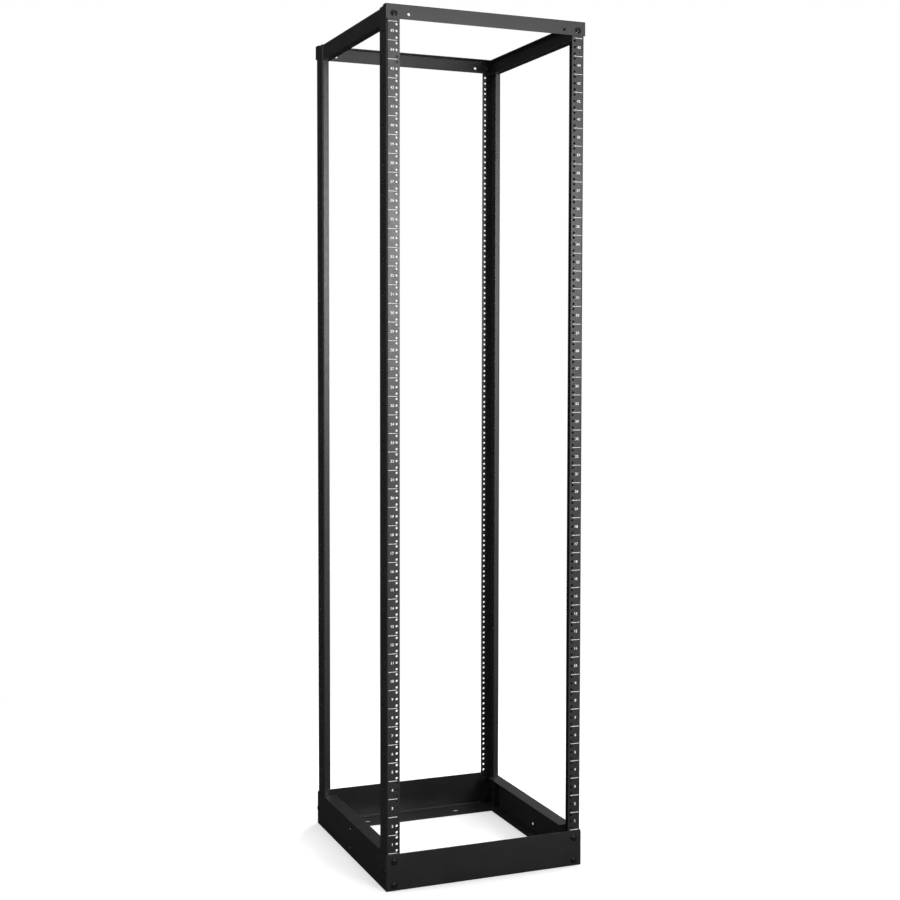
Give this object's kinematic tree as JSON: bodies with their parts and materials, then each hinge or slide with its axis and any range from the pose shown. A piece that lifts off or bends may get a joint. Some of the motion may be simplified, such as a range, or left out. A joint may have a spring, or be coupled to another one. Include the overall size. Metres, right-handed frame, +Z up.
{
  "type": "four post open frame rack",
  "caption": "Tall open frame of four folded channel posts with rows of mounting holes, on a deep folded base with a light top frame",
  "frame": {"origin": "on the floor, at the middle of the rack's width and depth", "axes": "+X to the rack's right, +Y to its rear, +Z up; the front faces -Y"},
  "size_m": [0.53, 0.6236, 2.1336],
  "materials": {
    "powder_coat": "satin",
    "black_bolt": "satin"
  },
  "bodies": {
    "root": {"post_front_left": "powder_coat", "post_front_right": "powder_coat", "post_rear_left": "powder_coat", "post_rear_right": "powder_coat", "top_rail_front": "powder_coat", "top_rail_rear": "powder_coat", "top_rail_left": "powder_coat", "top_rail_right": "powder_coat", "base_panel_front": "powder_coat", "base_panel_rear": "powder_coat", "base_panel_left": "powder_coat", "base_panel_right": "powder_coat", "top_bolt_front_left": "black_bolt", "base_bolt_front_left_low": "black_bolt", "base_bolt_front_left_high": "black_bolt", "side_bolt_front_left": "black_bolt", "top_bolt_front_right": "black_bolt", "base_bolt_front_right_low": "black_bolt", "base_bolt_front_right_high": "black_bolt", "side_bolt_front_right": "black_bolt", "top_bolt_rear_left": "black_bolt", "base_bolt_rear_left_low": "black_bolt", "base_bolt_rear_left_high": "black_bolt", "side_bolt_rear_left": "black_bolt", "top_bolt_rear_right": "black_bolt", "base_bolt_rear_right_low": "black_bolt", "base_bolt_rear_right_high": "black_bolt", "side_bolt_rear_right": "black_bolt"}
  },
  "joints": []
}
